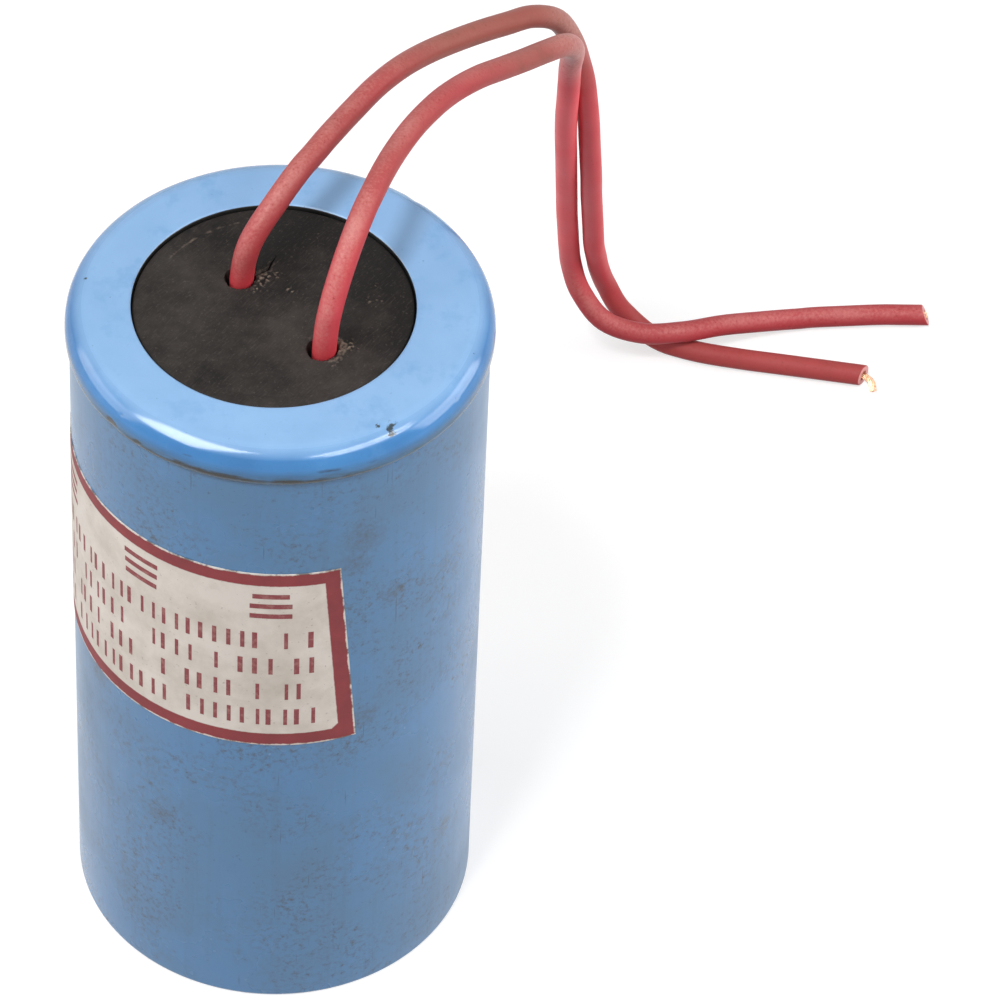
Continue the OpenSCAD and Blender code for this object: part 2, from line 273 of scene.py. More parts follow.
for name, (azimuth, elevation, width, height, power, unseen) in LAMPS.items():
    lamp_data = bpy.data.lights.new(name, "AREA")
    lamp_data.shape = "RECTANGLE"
    lamp_data.size = width
    lamp_data.size_y = height
    lamp_data.energy = power
    lamp = link(name, lamp_data)
    a, e = math.radians(azimuth), math.radians(elevation)
    away = Vector((math.sin(a) * math.cos(e), -math.cos(a) * math.cos(e), math.sin(e)))
    lamp.location = Vector((0, 0, CAP_TOP * MM)) + away * LAMP_DISTANCE
    lamp.rotation_euler = away.to_track_quat("Z", "Y").to_euler()
    if unseen:
        setattr(lamp, "visible_" + unseen, False)
print("floor, room and", len(LAMPS), "lamps ready")

# %% [markdown]
# Red PVC for the leads
# The leads are copper strands in an extruded red PVC sleeve: a soft, slightly waxy surface that goes brown
# where hands and dust have been and turns pale where it is folded hard. Light is painted on it as well: a
# brighter red, mostly where it hangs, and a pale pink painted sheen on its side towards the light. An image
# could hold all that, but it would have to be unwrapped along every bend. Instead the sleeve's mesh carries
# numbers of its own (how far along it is, how much painted light and painted sheen it has, how soiled or
# bleached it is, whether it is a cut face), and the material reads them.

# %% Lead material
LEAD_NUMBERS = ("along", "painted_light", "fade", "soil", "bleach", "cut")
FRESH_FROM, FRESH_TO = 0.0122, 0.0158


def lead_material():
    """Extruded red PVC: waxy, with painted light and sheen, tan where soiled, pale at a hard fold and on a
    cut.
    """
    material, tree, here = new_material("red_pvc_sleeve")
    along, painted_light, fade, soil, bleach, cut = [
        add(tree, "ShaderNodeAttribute", attribute_name=name).outputs["Fac"] for name in LEAD_NUMBERS]
    rub, grain, mottle = [
        add(tree, "ShaderNodeTexNoise",
            {"Vector": here, "Scale": per_mm(size), "Detail": detail, "Roughness": roughness})
        for size, detail, roughness in ((7, 5.0, 0.5), (0.4, 3.0, 0.6), (4, 6.0, 0.65))]
    # Painted light: a brighter red, mostly where the leads hang. Then a painted pink sheen on the side
    # towards the light, stronger in some patches than in others, and in the fine grain of the extrusion.
    uneven = add(tree, "ShaderNodeMath", {0: rub, 1: grain}, operation="ADD")
    red = coat(tree, "#a9393f", "#e8525a", painted_light)
    red = coat(tree, red, "#cd8580", uneven, 0.82, 1.22, least=0.3, times=fade)
    # Fresh deep red where the lead leaves the disc.
    red = coat(tree, red, "#bd333d", along, FRESH_TO, FRESH_FROM, 0.8)
    # Grime: a tan film with darker mottles in it.
    red = coat(tree, red, "#8f5c4f", soil, most=0.7)
    red = coat(tree, red, "#6d4a3a", mottle, 0.53, 0.72, 0.6, times=soil)
    # Pale bloom at a fold, and the bare pale plastic of a cut.
    red = coat(tree, red, "#e9cabf", bleach, most=0.7, times=grain)
    red = coat(tree, red, "#dfa5a2", cut, most=0.75)
    # Fine dark specks.
    red = coat(tree, red, "#6a3936", grain, 0.34, 0.27, 0.5)
    return finish_material(material, tree, red, (rub, 0.3, 0.7, 0.36, 0.5), (grain, 0.15, 0.1),
                           {"Specular IOR Level": 0.1})


lead_pvc = lead_material()

# %% [markdown]
# The leads
# Each lead leaves the disc, arches over the back of the cap, comes down behind the can and lies on the
# ground. It could be a curve with a round bevel. A swept mesh is used instead, because its rings can carry
# the distance along the lead for the dirt and the painted light, and its cut end can be hollow, with the
# copper inside. The route is the frame's own, point for point, and a smooth spline runs through it.

# %% Lead routes and marks
LEAD_D = 2.9 * MM
LEFT_HOLE = (-4.6, 4.6)
RIGHT_HOLE = (5.2, -7.1)
SLEEVE_START = 85.9
# Lean is how fast the cut falls back in each direction. Each mark is a list of spans along the lead, in
# metres, with a strength: painted light, mostly where it hangs, painted sheen on the side towards the light,
# soiled by hands, bleached at a fold.
LEADS = {
    "left": {
        "hole": LEFT_HOLE, "length": 0.2202, "lean": Vector((0, -0.42, 0.05)),
        "painted_light": [(0.105, 0.175, 0.55)],
        "fade": [(0.006, 0.072, 0.9), (0.072, 0.25, 0.12)],
        "soil": [(0.02, 0.05, 0.3), (0.052, 0.1, 1.0), (0.18, 0.25, 0.3)],
        "bleach": [(0.09, 0.094, 1.0)],
        "route": [
            (*LEFT_HOLE, SLEEVE_START), (*LEFT_HOLE, 93), (*LEFT_HOLE, 98.6), (-3.6, 4.9, 103.9),
            (-0.5, 7.4, 108.4), (2.7, 11.8, 110.3), (5.7, 17, 110.1), (8.4, 22.2, 109.2),
            (11.2, 27.4, 108.2), (14.2, 32.3, 106.8), (17.3, 37, 104.8), (20.7, 41.4, 102.7),
            (24.1, 45.7, 100.4), (27.4, 49.9, 97.9), (30.8, 54.1, 95.3), (34.1, 57.4, 91.7),
            (36.2, 59.4, 86.5), (37.4, 61.4, 81), (38.3, 63.6, 75.6), (38.9, 65.7, 70), (39.4, 68, 64.6),
            (39.8, 70.2, 59.1), (40.2, 72.4, 53.6), (40.6, 74.6, 48), (40.9, 77, 42.6), (41.3, 79.4, 37.2),
            (41.7, 81.8, 31.7), (42.1, 84.2, 26.3), (42.7, 87.1, 21.2), (43.4, 89.9, 16),
            (44.7, 92.1, 10.6), (47.4, 92.2, 5.3), (52, 90.5, 1.9), (57.5, 88.5, 1.5), (63.3, 87.2, 1.5),
            (69.2, 86.2, 1.5), (75.1, 85.2, 1.5), (80.9, 84.2, 1.5),
        ],
    },
    "right": {
        "hole": RIGHT_HOLE, "length": 0.236, "lean": Vector((0, 0.05, 0.42)),
        "painted_light": [(0.105, 0.175, 1.0), (0.008, 0.022, 0.6)],
        "fade": [(0.006, 0.055, 0.95), (0.055, 0.25, 0.6)],
        "soil": [(0.03, 0.06, 0.25), (0.068, 0.092, 0.8)],
        "bleach": [(0.09, 0.101, 1.0)],
        "route": [
            (*RIGHT_HOLE, SLEEVE_START), (*RIGHT_HOLE, 93), (*RIGHT_HOLE, 98.6), (5.8, -7, 104.6),
            (7.3, -4.8, 110), (9.3, -0.1, 113.2), (11.3, 5.6, 113.6), (13.2, 11.2, 112.7),
            (15.5, 16.7, 111.7), (18.2, 22, 110.4), (20.7, 27, 108.2), (23.6, 31.8, 105.8),
            (26.6, 36.2, 103.2), (29.4, 40.8, 100.3), (32.2, 45.4, 97.5), (34.9, 49.9, 94.5),
            (36.1, 53.7, 90.1), (36, 56.6, 84.8), (36.1, 59.2, 79.3), (36.2, 61.9, 74), (36.3, 64.7, 68.6),
            (36.5, 67.3, 63.1), (36.8, 69.9, 57.7), (37.1, 72.6, 52.3), (37.4, 75.3, 46.9),
            (37.7, 77.9, 41.5), (38, 80.4, 36), (38.4, 82.9, 30.5), (38.8, 85.3, 25), (39.4, 87.3, 19.3),
            (40.9, 88, 13.5), (44.3, 87.4, 8.5), (49.7, 87.6, 5.9), (55.5, 89.1, 4.8), (60.9, 91.4, 3.8),
            (66.4, 93.6, 2.4), (72.1, 95.2, 1.5), (78.1, 95.8, 1.5), (84.2, 96.2, 1.5), (90.2, 96.2, 1.5),
        ],
    },
}


# %% Sweep of the sleeves
STEPS_A_SPAN = 7
LEAD_SIDES = 28
CUT_EDGE = 0.14 * MM
SLEEVE_BORE_R = 0.68 * MM
SLEEVE_BORE_DEPTH = 1.3 * MM
# The way the painted sheen faces: towards the light, up and to the front left.
SHEEN_TOWARD = Vector((-0.21, -0.4, 0.89))
MARK_MARGINS = {"painted_light": 0.02, "fade": 0.02, "soil": 0.02, "bleach": 0.014}


def spline_through(points, steps):
    """Points on a smooth curve through the route, in metres."""
    p = [Vector(q) * MM for q in points]
    p = [p[0] * 2 - p[1]] + p + [p[-1] * 2 - p[-2]]
    curve = []
    for i in range(1, len(p) - 2):
        a, b, c, d = p[i - 1:i + 3]
        for k in range(steps):
            t = k / steps
            curve.append(0.5 * (2 * b + (c - a) * t + (2 * a - 5 * b + 4 * c - d) * t * t
                                + (3 * b - a - 3 * c + d) * t ** 3))
    return curve + [p[-2]]


def carried_frames(path):
    """For each point its tangent and two directions across it, carried along without twist."""
    frames = []
    side = Vector((1, 0.2, 0))
    for i in range(len(path)):
        tangent = (path[min(i + 1, len(path) - 1)] - path[max(i - 1, 0)]).normalized()
        side = (side - side.dot(tangent) * tangent).normalized()
        frames.append((tangent, side, tangent.cross(side)))
    return frames


def span(x, low, high, soft):
    """One between two values, fading to none over a soft margin."""
    return min(max(min(x - low, high - x) / soft + 0.5, 0), 1)


def sleeve(name, node, lead):
    """A lead's sleeve, closed at its hidden end and hollow at its cut end, and the line that it follows.

    The line is kept a radius inside the node's box, front to back and in height.
    """
    path = spline_through(lead["route"], STEPS_A_SPAN)
    radius = LEAD_D / 2
    low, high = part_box(node)
    for point in path:
        for axis in (1, 2):
            point[axis] = min(max(point[axis], low[axis] + radius), high[axis] - radius)
    frames = carried_frames(path)
    tangent, lean = frames[-1][0], lead["lean"]
    # Each ring: centre, radius, frame, on the cut or not. First the route, then the edge, cut face and bore.
    rings = [(point, radius, frames[i], 0) for i, point in enumerate(path[:-3])]
    plain = len(rings)
    for back, r, on_cut in (
            (CUT_EDGE, radius, 0), (CUT_EDGE * 0.3, radius - CUT_EDGE * 0.3, 0), (0, radius - CUT_EDGE, 1),
            (0, SLEEVE_BORE_R, 1), (SLEEVE_BORE_DEPTH, SLEEVE_BORE_R, 0)):
        rings.append((path[-1] - tangent * back, r, frames[-1], on_cut))
    points, faces = [], []
    numbers = {mark: [] for mark in LEAD_NUMBERS}
    distance = 0.0
    for i, (centre, r, (ahead, side, across), on_cut) in enumerate(rings):
        lit = SHEEN_TOWARD - SHEEN_TOWARD.dot(ahead) * ahead
        if i:
            distance += (centre - rings[i - 1][0]).length
        marks = {
            mark: max(strength * span(distance, first, last, margin) for first, last, strength in lead[mark])
            for mark, margin in MARK_MARGINS.items()}
        marks.update(along=distance, cut=on_cut)
        for k in range(LEAD_SIDES):
            angle = 2 * math.pi * k / LEAD_SIDES
            off = (side * math.cos(angle) + across * math.sin(angle)) * r
            if i >= plain:
                off -= tangent * (off.dot(lean) + radius * lean.length)
            points.append(centre + off)
            # A point takes painted sheen by how squarely it faces that way.
            facing = max(off.dot(lit.normalized()) / radius, 0) ** 3 * lit.length ** 0.3
            for mark, value in marks.items():
                numbers[mark].append(value * facing if mark == "fade" else value)
    for i in range(len(rings) - 1):
        for k in range(LEAD_SIDES):
            a, b = i * LEAD_SIDES + k, i * LEAD_SIDES + (k + 1) % LEAD_SIDES
            faces.append((a, b, b + LEAD_SIDES, a + LEAD_SIDES))
    last = (len(rings) - 1) * LEAD_SIDES
    faces.append(tuple(range(LEAD_SIDES - 1, -1, -1)))
    faces.append(tuple(range(last, last + LEAD_SIDES)))
    piece = mesh_piece(name, points, faces, lead_pvc, sharp_degrees=60)
    for attribute, values in numbers.items():
        paint(piece, attribute, values)
    return piece, path


for side, lead in LEADS.items():
    lead["sleeve"], lead["path"] = sleeve(side + "_lead_sleeve", "lead_" + side, lead)
    print(side, "lead:", round(sum((b - a).length for a, b in zip(lead["path"], lead["path"][1:])), 4), "m")

# %% [markdown]
# The copper strands
# The cut ends show bare copper: the left lead's strands stick out and droop, the right lead's are cut
# flush. Each strand could be drawn by hand, but a bundle is one line repeated: each copy is moved off the
# line by its own angle and distance, and twisted along it. That is a job for Geometry Nodes, because one
# small tree with named sizes makes both bundles.

# %% Copper material
def copper_material():
    """Cut copper wire: bright on the cut, brown where it has tarnished."""
    material, tree, here = new_material("bare_copper_wire")
    tarnish = add(tree, "ShaderNodeTexNoise", {"Vector": here, "Scale": per_mm(0.6), "Detail": 4.0})
    colour = coat(tree, "#efc8a8", "#b87c55", tarnish, 0.48, 0.66)
    return finish_material(material, tree, colour, (tarnish, 0, 1, 0.25, 0.55), sockets={"Metallic": 1.0})


copper = copper_material()


# %% Geometry Nodes tree for a bundle of strands
GOLDEN_ANGLE = 2.39996
STRAND_SIDES = 10


def rule_tree(name, takes, counts, sizes, gives):
    """An empty Geometry Nodes tree with named inputs, and the sockets that give them."""
    tree = bpy.data.node_groups.new(name, "GeometryNodeTree")
    inputs = [(takes, "Geometry")] + [(one, "Int") for one in counts] + [(one, "Float") for one in sizes]
    for socket, kind in inputs + [("Finish", "Material")]:
        tree.interface.new_socket(socket, in_out="INPUT", socket_type="NodeSocket" + kind)
    tree.interface.new_socket(gives, in_out="OUTPUT", socket_type="NodeSocketGeometry")
    return tree, add(tree, "NodeGroupInput").outputs


def end_rule(tree, shape, finish):
    """Ends a tree: what it made becomes real geometry with a finish."""
    whole = add(tree, "GeometryNodeRealizeInstances", {0: shape})
    dressed = add(tree, "GeometryNodeSetMaterial", {"Geometry": whole, "Material": finish})
    add(tree, "NodeGroupOutput", {0: dressed})
    return tree


def strand_tree():
    """A tree that turns one line into a twisted bundle of round strands."""
    tree, given = rule_tree("strand_bundle", "Line", ("Strands",),
                            ("Bundle radius", "Strand radius", "Twist", "Spread"), "Bundle")
    copies = add(tree, "GeometryNodeDuplicateElements",
                 {"Geometry": given["Line"], "Amount": given["Strands"]}, domain="SPLINE")
    number = copies.outputs["Duplicate Index"]
    progress = add(tree, "GeometryNodeSplineParameter").outputs["Factor"]
    share = add(tree, "ShaderNodeMath", {0: number, 1: given["Strands"]}, operation="DIVIDE")
    root = add(tree, "ShaderNodeMath", {0: share}, operation="SQRT")
    reach = add(tree, "ShaderNodeMath", {0: root, 1: given["Bundle radius"]}, operation="MULTIPLY")
    open_up = add(tree, "ShaderNodeMath", {0: progress, 1: given["Spread"], 2: 1.0}, operation="MULTIPLY_ADD")
    off = add(tree, "ShaderNodeMath", {0: reach, 1: open_up}, operation="MULTIPLY")
    # The golden angle spreads the strands evenly over the round section.
    turn = add(tree, "ShaderNodeMath", {0: number, 1: GOLDEN_ANGLE}, operation="MULTIPLY")
    angle = add(tree, "ShaderNodeMath", {0: progress, 1: given["Twist"], 2: turn}, operation="MULTIPLY_ADD")
    normal = add(tree, "GeometryNodeInputNormal")
    tangent = add(tree, "GeometryNodeInputTangent")
    rotated = add(tree, "ShaderNodeVectorRotate", {"Vector": normal, "Axis": tangent, "Angle": angle},
                  rotation_type="AXIS_ANGLE")
    offset = add(tree, "ShaderNodeVectorMath", {0: rotated, "Scale": off}, operation="SCALE")
    moved = add(tree, "GeometryNodeSetPosition", {"Geometry": copies, "Offset": offset})
    profile = add(tree, "GeometryNodeCurvePrimitiveCircle",
                  {"Resolution": STRAND_SIDES, "Radius": given["Strand radius"]})
    wires = add(tree, "GeometryNodeCurveToMesh",
                {"Curve": moved, "Profile Curve": profile, "Fill Caps": True})
    return end_rule(tree, wires, given["Finish"])


def by_nodes(name, base, tree, values):
    """Runs a Geometry Nodes tree on a base object and keeps the result as a plain mesh object."""
    modifier = base.modifiers.new("rule", "NODES")
    modifier.node_group = tree
    for item in tree.interface.items_tree:
        if item.in_out == "INPUT" and item.name in values:
            modifier[item.identifier] = values[item.name]
    graph = bpy.context.evaluated_depsgraph_get()
    mesh = bpy.data.meshes.new_from_object(base.evaluated_get(graph))
    mesh.name = name
    bpy.data.objects.remove(base)
    smooth(mesh, 40)
    return link(name, mesh)


def line_object(name, points):
    """A curve object with one open poly line."""
    data = bpy.data.curves.new(name, "CURVE")
    data.dimensions = "3D"
    line = data.splines.new("POLY")
    line.points.add(len(points) - 1)
    for point, spot in zip(line.points, points):
        point.co = (*spot, 1)
    return link(name, data)


bundle = strand_tree()
print("tree:", bundle.name)

# %% Strands of both leads
STRANDS = 16
STRAND_R = 0.12 * MM
BUNDLE_R = 0.4 * MM
BORE_STANDBACK = 1.6 * MM
FLUSH_STANDBACK = 0.5 * MM
STRAND_STEPS = 6
DROOP_ROUTE = [(80.3, 84.3, 1.5), (80.9, 83.8, 1.45), (81.4, 83, 1.25), (81.6, 82, 0.85)]
for lead in LEADS.values():
    before, end = lead["path"][-2:]
    lead["bare_from"] = end - (end - before).normalized() * BORE_STANDBACK
droop = [LEADS["left"]["bare_from"]] + spline_through(DROOP_ROUTE, STRAND_STEPS)
flush_end = LEADS["right"]["path"][-1] - Vector((FLUSH_STANDBACK, 0, 0))
flush = [LEADS["right"]["bare_from"].lerp(flush_end, k / STRAND_STEPS) for k in range(STRAND_STEPS + 1)]
for side, line, twist, spread in (("left", droop, 2.2, 0.15), ("right", flush, 0.5, 0.0)):
    strands = by_nodes(side + "_lead_copper", line_object(side + "_strand_line", line), bundle,
                       {"Strands": STRANDS, "Bundle radius": BUNDLE_R, "Strand radius": STRAND_R,
                        "Twist": twist, "Spread": spread, "Finish": copper})
    LEADS[side]["copper"] = strands
    print(side, "strands:", len(strands.data.polygons), "faces")

for side, lead in LEADS.items():
    place(lead["sleeve"], "lead_pvc", "lead_" + side)
    place(lead["copper"], "copper", *(["lead_left_strands"] if side == "left" else []))

# %% [markdown]
# Turned shapes
# The can, the cap and the disc are all stacks of circles, so one function skins a stack of rings. A lathe
# modifier (Screw) could turn a profile, but the cap's aperture is off centre, and rings with their own
# centres allow that.

# %% Helpers for stacked rings
def arc(centre_r, centre_z, radius, start, end, steps):
    """Points (radius, height) on an arc of a profile. Angles are in degrees, 0 outwards and 90 up."""
    angles = [math.radians(start + (end - start) * k / steps) for k in range(steps + 1)]
    return [(centre_r + radius * math.cos(a), centre_z + radius * math.sin(a)) for a in angles]


def ring(radius, height, centre_x=0.0, steps=360):
    """A circle of points. Lengths are in millimetres, and the points in metres."""
    turns = [2 * math.pi * k / steps for k in range(steps)]
    return [Vector((centre_x + radius * math.cos(t), radius * math.sin(t), height)) * MM for t in turns]


def skin(name, rings, material, loop=False, sharp_degrees=35):
    """A mesh over a stack of rings, its outside on their outer side. A ring of one point closes it."""
    points, faces, starts = [], [], []
    for one in rings:
        starts.append(len(points))
        points += one
    count = len(rings)
    for a, b in [(i, (i + 1) % count) for i in range(count if loop else count - 1)]:
        n = max(len(rings[a]), len(rings[b]))
        for k in range(n):
            here, there = (starts[a] + k, starts[a] + (k + 1) % n), (starts[b] + (k + 1) % n, starts[b] + k)
            if len(rings[a]) == 1:
                faces.append((starts[a], *there))
            elif len(rings[b]) == 1:
                faces.append((*here, starts[b]))
            else:
                faces.append((*here, *there))
    return mesh_piece(name, points, faces, material, sharp_degrees)


def on_wall(radius, angle, height):
    """A point at a radius and a height in millimetres, at an angle in radians from the front to the right."""
    return Vector((radius * math.sin(angle), -radius * math.cos(angle), height)) * MM


print("ring helpers ready")

# %% [markdown]
# Blue plastic of the case
# The case is moulded in one blue, but years of handling have laid a grey film over it. Under that film run
# faint upright streaks, where the can was slid in and out of its clip. They could be painted on by hand,
# but a noise pattern drawn out along the height makes the streaks, and one left round makes the film's
# clouds.

# %% Case material
# Each stain: its angle from the front to the right, its height and its reach in millimetres.
STAINS = [
    (24, 82.8, 6.5), (21, 78.6, 5), (34, 71, 4.5), (-60, 47.4, 5), (25, 50.8, 4), (-34, 30, 4),
    (58, 20, 4), (120, 70, 6), (165, 34, 7), (-130, 60, 6),
]


def case_material():
    """Moulded blue plastic under a dull grey film, with upright scuffs, specks and a dark band below the cap.
    """
    material, tree, here = new_material("blue_moulded_plastic")
    height = add(tree, "ShaderNodeSeparateXYZ", {0: here}).outputs["Z"]
    film, patch, grain = [
        add(tree, "ShaderNodeTexNoise",
            {"Vector": here, "Scale": per_mm(size), "Detail": detail, "Roughness": roughness})
        for size, detail, roughness in ((16, 4.0, 0.55), (11, 3.0, 0.5), (0.8, 5.0, 0.7))]
    # The film: broad clouds that turn the blue grey.
    blue = coat(tree, "#4379aa", "#466f94", film, 0.32, 0.68)
    # Upright scuffs, about a millimetre wide and centimetres long, and short, much narrower scratches.
    scuff, scratch = [
        add(tree, "ShaderNodeTexNoise",
            {"Vector": add(tree, "ShaderNodeMapping",
                           {"Vector": here, "Scale": (per_mm(wide), per_mm(wide), per_mm(long))}),
             "Scale": 1.0, "Detail": detail})
        for wide, long, detail in ((1.3, 50, 4.0), (0.45, 8, 2.0))]
    blue = coat(tree, blue, "#3e5972", scuff, 0.55, 0.75, 0.2)
    blue = coat(tree, blue, "#2c3d50", scratch, 0.7, 0.78, 0.6)
    # Grimy fingermarks: fine grain that shows only inside patches.
    inside = add(tree, "ShaderNodeMapRange", {"Value": patch, "From Min": 0.42, "From Max": 0.64})
    blue = coat(tree, blue, "#3d4348", grain, 0.48, 0.64, 0.65, times=inside)
    # A few grey stains at known places, broken up by the same grain.
    nearest = None
    for azimuth, up, reach in STAINS:
        middle = on_wall(CASE_R, math.radians(azimuth), up)
        away = add(tree, "ShaderNodeVectorMath", {0: here, 1: middle}, operation="DISTANCE")
        near = add(tree, "ShaderNodeMapRange", {"Value": away, "From Min": reach * MM, "From Max": 0.0})
        nearest = add(tree, "ShaderNodeMath", {0: nearest, 1: near}, operation="MAXIMUM") if nearest else near
    blotch = add(tree, "ShaderNodeMath", {0: nearest, 1: grain}, operation="MULTIPLY")
    blue = coat(tree, blue, "#3e4a57", blotch, 0.2, 0.55, 0.65)
    # Fine dark specks everywhere.
    blue = coat(tree, blue, "#26303c", grain, 0.63, 0.7, 0.55)
    # Darker in a thin band just below the cap, broken by the film's clouds.
    below = add(tree, "ShaderNodeMapRange", {"Value": height, "From Min": (CAP_LOW - 0.9) * MM,
                                             "From Max": CAP_LOW * MM})
    corner = add(tree, "ShaderNodeMath", {0: below, 1: 2.5}, operation="POWER")
    blue = coat(tree, blue, "#26282b", film, 0.42, 0.56, 0.75, least=0.15, times=corner)
    return finish_material(material, tree, blue, (film, 0.3, 0.7, 0.22, 0.36), (scuff, 0.08, 0.3),
                           {"IOR": 1.56})


case_plastic = case_material()

# %% [markdown]
# The case
# The case is a cup: its profile runs from the middle of the base, round the foot, up the wall, over the
# thinner mouth and back down inside to the floor. A cylinder hollowed by a Boolean would do too, but a
# profile gives every edge its real radius.

# %% Case
CASE_WALL = 2.0
CASE_FLOOR = 2.5
FOOT_R = 0.6
INSIDE_FILLET_R = 1.2
MOUTH_WALL = 1.2
STEP_EDGE = 0.1
BORE_R = CASE_R - CASE_WALL
MOUTH_R = BORE_R + MOUTH_WALL
profile = arc(CASE_R - FOOT_R, FOOT_R, FOOT_R, -90, 0, 8)
profile += [(CASE_R, 4), (CASE_R, CAP_LOW / 2), (CASE_R, CAP_LOW - STEP_EDGE), (CASE_R - STEP_EDGE, CAP_LOW)]
profile += [(MOUTH_R, CAP_LOW), (MOUTH_R, CASE_TOP), (BORE_R, CASE_TOP)]
profile += arc(BORE_R - INSIDE_FILLET_R, CASE_FLOOR + INSIDE_FILLET_R, INSIDE_FILLET_R, 0, -90, 6)
case = skin("case", [[Vector((0, 0, 0))]] + [ring(r, z) for r, z in profile]
            + [[Vector((0, 0, CASE_FLOOR * MM))]], case_plastic)
place(case, "case_plastic", "case_cup")
print("case:", len(case.data.polygons), "faces")

# %% [markdown]
# Blue plastic of the cap
# The cap is the same plastic, but cleaner. Its flat top has gone chalky and pale, while the shoulder and
# the band, where fingers rub, keep a deeper and glossier blue. Two materials would leave a seam between
# them. Instead height alone tells the top from the shoulder, and a little noise keeps the change from
# looking ruled. The band is darker along its foot. Where the cap was knocked, where grime clings and where
# shade is painted into the corner round the disc is marked on its mesh.

# %% Cap material
def cap_material():
    """Blue plastic, chalky on top, deeper and glossier down the shoulder, bruised, grimy, painted shade round
    the disc.
    """
    material, tree, here = new_material("blue_cap_plastic")
    height = add(tree, "ShaderNodeSeparateXYZ", {0: here}).outputs["Z"]
    knock, grime_and_shade = [
        add(tree, "ShaderNodeAttribute", attribute_name=name).outputs["Fac"] for name in ("knock", "grime_and_shade")]
    cloud, smear, grain = [
        add(tree, "ShaderNodeTexNoise",
            {"Vector": here, "Scale": per_mm(size), "Detail": detail, "Roughness": roughness})
        for size, detail, roughness in ((9, 6.0, 0.6), (5, 8.0, 0.7), (0.7, 4.0, 0.65))]
    top_blue = coat(tree, "#88b0d9", "#80a9d3", cloud, 0.35, 0.65)
    side_blue = coat(tree, "#3a7eba", "#3371ab", cloud, 0.35, 0.65)
    blue = coat(tree, side_blue, top_blue, height, (CAP_TOP - 1.0) * MM, (CAP_TOP - 0.05) * MM)
    # Rubbed smears that let the deeper blue through on the top, and specks of dirt.
    blue = coat(tree, blue, "#558bc0", smear, 0.54, 0.72, 0.45)
    blue = coat(tree, blue, "#33485f", grain, 0.69, 0.75, 0.5)
    # Dark bruises where the shoulder was knocked.
    bruise = add(tree, "ShaderNodeMath", {0: knock, 1: grain}, operation="MULTIPLY")
    blue = coat(tree, blue, "#2c3b42", bruise, 0.4, 0.48)
    # The band is darker along its foot, in broken streaks. Grime lies in broken streaks that run round the
    # cap, and the corner round the disc is painted dark, as shade.
    drawn = add(tree, "ShaderNodeMapping", {"Vector": here, "Scale": (per_mm(2.5), per_mm(2.5), per_mm(0.5))})
    streak = add(tree, "ShaderNodeTexNoise", {"Vector": drawn, "Scale": 1.0, "Detail": 5.0, "Roughness": 0.6})
    blue = coat(tree, blue, "#324f5f", height, (CAP_LOW + 2.4) * MM, (CAP_LOW + 0.3) * MM, 1.9, times=streak)
    streaked = add(tree, "ShaderNodeMath", {0: grime_and_shade, 1: streak}, operation="MULTIPLY")
    blue = coat(tree, blue, "#232423", streaked, 0.2, 0.5)
    flat_top = (height, (CAP_TOP - 0.3) * MM, (CAP_TOP - 0.02) * MM, 0.15, 0.42)
    return finish_material(material, tree, blue, flat_top, (smear, 0.04, 0.3), {"IOR": 1.5})


cap_plastic = cap_material()

# %% [markdown]
# The cap
# The cap's profile closes on itself. Its outer rings are centred on the can and its inner rings on the
# aperture, so the flat top grows from one centre to the other. A few knocks on the shoulder could be bump
# in the material, but real dents show in the outline too: the points near each one are pushed in a little,
# and the same closeness is kept as a number for the material to darken.

# %% Cap
APERTURE_X = -0.8
APERTURE_R = 16.8
APERTURE_EDGE_R = 0.4
SHOULDER_R = 3.0
TUCK = 0.3
TUCK_H = 0.7
SKIRT_INNER_R = 24.25
CAP_STEPS = 600
TOP_RINGS = 14
edge = [(CAP_R - TUCK, CAP_LOW, 0)]
edge += [(CAP_R - TUCK * (1 - k / 3) ** 2, CAP_LOW + TUCK_H * k / 3, 0) for k in (1, 2, 3)]
edge += [(CAP_R, CAP_LOW + TUCK_H + 0.3 * k, 0) for k in (0.5, 1, 1.5)]
edge += [(r, z, 0) for r, z in arc(CAP_R - SHOULDER_R, CAP_TOP - SHOULDER_R, SHOULDER_R, 0, 90, 36)]
inner_edge_r = APERTURE_R + APERTURE_EDGE_R
for k in range(1, TOP_RINGS):
    t = k / TOP_RINGS
    edge.append(((CAP_R - SHOULDER_R) * (1 - t) + inner_edge_r * t, CAP_TOP, APERTURE_X * t))
edge += [(r, z, APERTURE_X)
         for r, z in arc(inner_edge_r, CAP_TOP - APERTURE_EDGE_R, APERTURE_EDGE_R, 90, 180, 6)]
edge += [(APERTURE_R, CASE_TOP, APERTURE_X), (SKIRT_INNER_R, CASE_TOP, 0), (SKIRT_INNER_R, CAP_LOW, 0)]
cap = skin("cap", [ring(r, z, x, CAP_STEPS) for r, z, x in edge], cap_plastic, loop=True)
print("cap:", len(cap.data.polygons), "faces")

# %% Knocks and grime on the cap
# Each knock: angle from the front to the right, angle up the shoulder, reach and depth.
KNOCKS = [
    (30.2, 84, 1.2, 0.06), (34.5, 76, 1.6, 0.06), (32.5, 60, 2.0, 0.08), (-50, -28, 1.6, 0.15),
    (-47, 32, 0.4, 0.06), (-40, -18, 0.4, 0.08), (56, 36, 0.5, 0.08), (72, 60, 0.6, 0.08),
    (140, 40, 1.0, 0.15), (-150, 10, 0.8, 0.12), (-100, 70, 0.6, 0.08),
]
